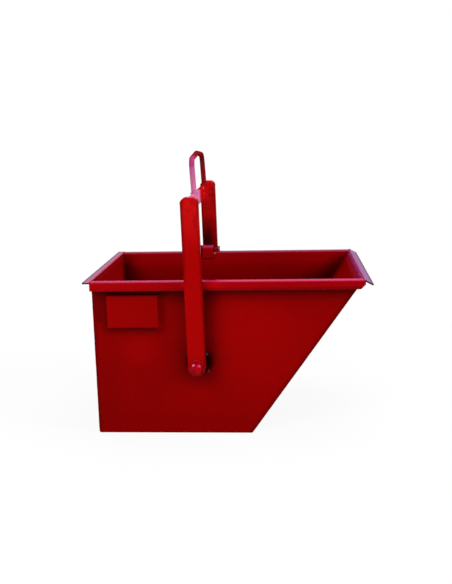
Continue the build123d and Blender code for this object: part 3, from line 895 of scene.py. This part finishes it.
def seamBeads():
    made, rear = [], shell["rear"]
    for sign in (-1, 1):
        y = sign * shell["wallIn"]
        low, high = seam["rear"]
        foot, head = (np.array([shell["floorFront"], y, 0]) + slope * along for along in seam["front"])
        made.append(bead([(rear, y, low), (rear, y, high)], (-1, 0, 0), "seam"))
        made.append(bead([foot, head], slopeOut, "seam"))
        lift = shell["sheet"] + seam["inset"]
        y -= sign * seam["inset"]
        low, high = seam["inRear"]
        atRear, atFront = seam["inFloor"]
        runs = [
            ((rear + lift, y, low), (rear + lift, y, high)),
            ((rear + atRear, y, lift), (shell["floorFront"] - atFront, y, lift)),
            ((foot[0], y, foot[2]) - slopeOut * lift, (head[0], y, head[2]) - slopeOut * lift),
        ]
        for start, end in runs:
            for stitch in stitches(start, end, seam["stitch"], seam["gap"]):
                made.append(bead(stitch, (0, -sign, 0), "small"))
    return made


def discBeads():
    (x, z), outer, inner = shell["pivot"], [], []
    for sign in (-1, 1):
        ring = circle(x, sign * shell["wallOut"], z, shell["doubler"])
        outer.append(bead(ring, (0, sign, 0), "fillet", True))
        ring = circle(x, sign * shell["wallIn"], z, shell["backing"])
        inner.append(bead(ring, (0, -sign, 0), "small", True))
    return outer, inner


addPiece("lip_welds", lipBeads(), ["body"], "bucket")
addPiece("body_seam_welds", seamBeads(), ["body"], "bucket")
outer, inner = discBeads()
# the doubler welds take the greased steel: painted shade round the pivots
addPiece("doubler_welds", outer, ["greaseAndShade"], "bucket")
addPiece("backing_welds", inner, ["body"], "bucket")

keeper = metres(x=(34.65, 84.65), foot=440, legIn=264, free=4, inset=2)
armStop = metres(x=(86.7, 103.7), y=(248, 275), corner=1.5)


def keeperBeads():
    (x0, x1), inset, leg = keeper["x"], keeper["inset"], keeper["legIn"]
    wall, rim, foot = shell["wallIn"], shell["rim"], keeper["foot"]
    inward, top = (0, -1, 0), rim - keeper["free"]
    made = [bead([(x, wall, foot), (x, wall, top)], inward, "keeper") for x in keeper["x"]]
    made.append(bead([(x0, wall, foot), (x1, wall, foot)], inward, "keeper"))
    made.append(bead([(x0 + inset, leg, rim), (x1 - inset, leg, rim)], (0, -1, 1), "small"))
    return made


def stopBead():
    u, v = roundedRectangle(*armStop["x"], *armStop["y"], armStop["corner"])
    return bead(joined(u, v, shell["rim"]), (0, 0, 1), "small", True)


def plateBeads():
    made, inward = [], namePlate["weldAt"]
    start, end = namePlate["weldIn"] - shell["wallOut"], -shell["wallOut"] - namePlate["depth"]
    for x, inX in zip(namePlate["x"], (inward, -inward)):
        for z, inZ in zip(namePlate["z"], (inward, -inward)):
            made.append(bead([(x + inX, start, z + inZ), (x + inX, end, z + inZ)], (1, 0, 1), "plate"))
    return made


fittingBeads = keeperBeads() + [stopBead()] + plateBeads()
addPiece("fitting_welds", fittingBeads, ["body"], "bucket")


def onBail(u, v, y):
    # side view (u across the arm, v up from the pivot), leaned back about the pivot
    c, s = np.cos(bail["lean"]), np.sin(bail["lean"])
    x, z = shell["pivot"]
    return joined(x + u * c - v * s, y, z + u * s + v * c)


def armOutlines():
    # side views of the seams round an arm's crown and foot
    half, bend, top = bail["halfWidth"], bail["crown"], bail["length"]
    turn = np.linspace(0, np.pi / 2, weld["crown"])
    u = np.concatenate([-half + bend - bend * np.cos(turn), half - bend + bend * np.sin(turn)])
    v = np.concatenate([top - bend + bend * np.sin(turn), top - bend + bend * np.cos(turn)])
    turn = np.linspace(bail["footStart"], np.pi - bail["footStart"], weld["foot"])
    return (u, v), (half * np.cos(turn), -half * np.sin(turn))


def bailBeads():
    made, onBar = [], []
    lower, upper = bail["bar"]
    bar = roundedRectangle(-bail["barHalf"], bail["barHalf"], lower, upper, bail["barEdge"])
    angle, eye = turnAngles(weld["eye"]), bail["eyeRadius"]
    for sign in (-1, 1):
        onBar.append(bead(onBail(*bar, sign * bail["armIn"]), (0, -sign, 0), "bar", True))
        ring = onBail(eye * np.cos(angle), upper, sign * bail["eyeAt"] + eye * np.sin(angle))
        onBar.append(bead(ring, (0, 0, 1), "eye", True))
        for y in (bail["armIn"] + bail["wall"], bail["armOut"] - bail["wall"]):
            made += [bead(onBail(*outline, sign * y), (0, 1, 0), "arm") for outline in armOutlines()]
    x, z = bail["lock"]
    made.append(bead(circle(x, bail["armOut"], z, bail["lockRadius"]), (0, 1, 0), "small", True))
    return made, onBar


armBeads, barBeads = bailBeads()
addPiece("bail_welds", armBeads, ["bail"], "bail")
addPiece("bar_welds", barBeads, ["bar"], "bail")
print("weld beads done")

# Pivot bolts

pivotBolt = dict(
    **metres(
        seat=314.5, tail=214, head=12.5, flats=30, shank=10, pitch=2.5, groove=1.2, threaded=34, runOut=3,
        point=1.6, faceRadius=9.5, dome=5.5,
    ),
    faceRings=(0.93, 0.6),  # shares of the face's radius
    around=96, shankRows=330, domeRows=10, sharp=35,
)


def boltSkin(sign):
    # radius over angle and station. Thread: a triangle wave of station / pitch + angle / turn, fading in;
    # head: the hexagon's polar radius, cut by an ellipse turned round the axis
    spec = SimpleNamespace(**pivotBolt)
    around, top, rings = spec.around, spec.head, len(spec.faceRings)
    angle = turnAngles(around)[None, :]
    shankAt = np.linspace(0, spec.seat - spec.tail, spec.shankRows)[:, None]
    wave = np.abs(((shankAt / spec.pitch + angle / (2 * np.pi)) % 1) - 0.5) * 2
    grip = np.clip((spec.threaded - shankAt) / spec.runOut, 0, 1)
    point = np.clip(1 - shankAt / spec.point, 0, 1) * spec.point
    shankRadius = spec.shank - np.maximum(spec.groove * wave * grip, point)
    domeAt = top - np.linspace(1, 0, spec.domeRows) ** 2 * spec.dome
    headAt = np.concatenate([[0.0], domeAt])[:, None]
    hexagon = spec.flats / 2 / np.cos((angle + np.pi / 6 + np.pi / 2) % (np.pi / 3) - np.pi / 6)
    depth = np.clip((top - headAt) / spec.dome, 0, 1)
    swell = spec.flats / 2 / np.cos(np.pi / 6) - spec.faceRadius
    headRadius = np.minimum(hexagon, spec.faceRadius + swell * np.sqrt(1 - (1 - depth) ** 2))
    face = np.array(spec.faceRings)[:, None] * spec.faceRadius * np.ones_like(angle)
    radius = np.vstack([shankRadius, headRadius, face])
    end = spec.seat + top
    station = np.vstack([spec.tail + shankAt, spec.seat + headAt, np.full((rings, 1), end)])
    x, z = shell["pivot"]
    ends = [(x, sign * spec.tail, z), (x, sign * end, z)]
    skin = closedTube(turnedRings((x, z), radius, angle, sign * station), ends)
    painted = np.repeat(np.arange(len(radius) - 1) >= len(shankAt) - 1, around)
    return skin, np.concatenate([np.where(painted, 0, 1), np.ones(around, int), np.zeros(around, int)])


for side, sign in (("near", -1), ("far", 1)):
    skin, index = boltSkin(sign)
    sharp = pivotBolt["sharp"]
    bolt = addPiece(side + "_bolt", [skin], ["head", "zinc"], "bucket", sharp, index)
    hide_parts(side + "_pivot_bolt")
print("pivot bolts done")

# Lock knob

lockKnob = dict(
    **metres(start=355.5, length=18, radius=14, bend=4, hole=4.5, face=5, flute=1.5),
    flutes=8, narrow=3,  # power that narrows the flutes
    around=128, rows=9, sharp=40,
)


def knobSkin():
    # a rounded profile turned round the rod; the flutes are a cosine of the angle, raised to a power
    spec = SimpleNamespace(**lockKnob)
    length, full, bend, rows = spec.length, spec.radius, spec.bend, spec.rows
    angle = turnAngles(spec.around)[None, :]
    turn = np.linspace(0, np.pi / 2, rows)
    straight = np.linspace(bend, length - bend, rows)[1:-1]
    low, high = bend - bend * np.cos(turn), length - bend + bend * np.sin(turn)
    along = np.concatenate([[0.0], low, straight, high, [length]])
    low, high = full - bend + bend * np.sin(turn), full - bend + bend * np.cos(turn)
    swell = np.concatenate([[spec.hole], low, np.full(len(straight), full), high, [spec.face]])
    band = np.sqrt(np.clip(np.sin(np.pi * along / length), 0, 1))[:, None]
    flute = spec.flute * (0.5 + 0.5 * np.cos(spec.flutes * angle)) ** spec.narrow * band
    x, z = bail["lock"]
    rings = turnedRings((x, z), swell[:, None] - flute, angle, (spec.start + along)[:, None])
    return closedTube(rings, [(x, spec.start, z), (x, spec.start + length, z)])


knob = addPiece("knob", [knobSkin()], ["mould"], "lock", lockKnob["sharp"])
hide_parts("lock_knob")
print("lock knob done")

# Floor, light and camera

stage = dict(
    floorHalf=14.0, floorTone=(0.75, 0.75, 0.75), shadow=0.1, shadowNear=0.5, shadowFar=1.5,
    sky=dict(Color=(0.96, 0.97, 1.0), Strength=0.45), white=dict(Color=(1, 1, 1), Strength=1.0),
    lamps=[  # place, aim, size, watts, colour
        ((-1.7, -2.9, 2.6), (0.1, 0, 0.3), 2.0, 85.0, (1.0, 0.98, 0.96)),
        ((3.2, -0.8, 2.3), (0.0, 0, 0.35), 1.8, 108.0, (1.0, 0.98, 0.97)),
        ((0.2, 0.8, 3.2), (0.1, 0, 0.3), 2.4, 60.0, (0.95, 0.96, 1.0)),
    ],
)


def emptyTree(owner):
    owner.use_nodes = True
    owner.node_tree.nodes.clear()
    return owner.node_tree


def whiteToEye(tree):
    # 1 for rays from the camera and for what gloss or glass shows
    seen = newNode(tree, "LightPath").outputs
    return most(seen["Is Camera Ray"], seen["Is Glossy Ray"], seen["Is Transmission Ray"])


def makeFloor():
    half = stage["floorHalf"]
    mesh = bpy.data.meshes.new("floor")
    corners = [(-half, -half, 0), (half, -half, 0), (half, half, 0), (-half, half, 0)]
    mesh.from_pydata(corners, [], [(0, 1, 2, 3)])
    floor = bpy.data.objects.new("floor", mesh)
    scene.collection.objects.link(floor)
    finish = bpy.data.materials.new("paleFloor")
    tree = emptyTree(finish)
    pale = newNode(tree, "BsdfDiffuse", {"Color": stage["floorTone"]}).outputs[0]
    white = newNode(tree, "Emission", stage["white"]).outputs[0]
    away = vector("LENGTH", placeOf(tree))
    keep = times(ramp(away, stage["shadowFar"], stage["shadowNear"]), stage["shadow"])
    share = times(whiteToEye(tree), calc("SUBTRACT", 1.0, keep))
    mixed = newNode(tree, "MixShader", {0: share, 1: pale, 2: white}).outputs[0]
    newNode(tree, "OutputMaterial", {"Surface": mixed})
    mesh.materials.append(finish)


def makeWorld():
    world = bpy.data.worlds.new("studio")
    tree = emptyTree(world)
    sky = newNode(tree, "Background", stage["sky"]).outputs[0]
    white = newNode(tree, "Background", stage["white"]).outputs[0]
    mixed = newNode(tree, "MixShader", {0: whiteToEye(tree), 1: sky, 2: white}).outputs[0]
    newNode(tree, "OutputWorld", {"Surface": mixed})
    scene.world = world


def addHolder(data, place, right, up, back):
    # puts a lamp or camera in place, looking against its back direction
    holder = bpy.data.objects.new(data.name, data)
    turn = Matrix(np.column_stack([right, up, back]).tolist()).to_4x4()
    holder.matrix_world = Matrix.Translation(place) @ turn
    scene.collection.objects.link(holder)
    return holder


def makeLamps():
    for number, (place, aim, size, watts, colour) in enumerate(stage["lamps"]):
        lamp = bpy.data.lights.new(f"softbox{number}", "AREA")
        lamp.size, lamp.energy, lamp.color = size, watts, colour
        back = unit(np.subtract(place, aim))
        right = unit(np.cross((0, 0, 1), back))
        addHolder(lamp, place, right, np.cross(back, right), back)


view = dict(
    place=(0.31658, -2.53176, 0.91112), turn=(3.946, 11.995, -1.298),  # yaw, pitch and roll
    focal=824.77, longSide=584, sensor=36.0,
)


def makeCamera():
    yaw, pitch, roll = np.radians(view["turn"])
    ahead = np.array([-np.sin(yaw) * np.cos(pitch), np.cos(yaw) * np.cos(pitch), -np.sin(pitch)])
    level = np.array([np.cos(yaw), np.sin(yaw), 0])
    upright = np.cross(level, ahead)
    right = np.cos(roll) * level + np.sin(roll) * upright
    up = np.cos(roll) * upright - np.sin(roll) * level
    lens = bpy.data.cameras.new("camera")
    lens.sensor_width = view["sensor"]
    lens.lens = view["sensor"] * view["focal"] / view["longSide"]
    scene.camera = addHolder(lens, view["place"], right, up, -ahead)


makeFloor()
makeWorld()
makeLamps()
makeCamera()
scene.view_settings.view_transform = "Standard"
print("stage and camera done")
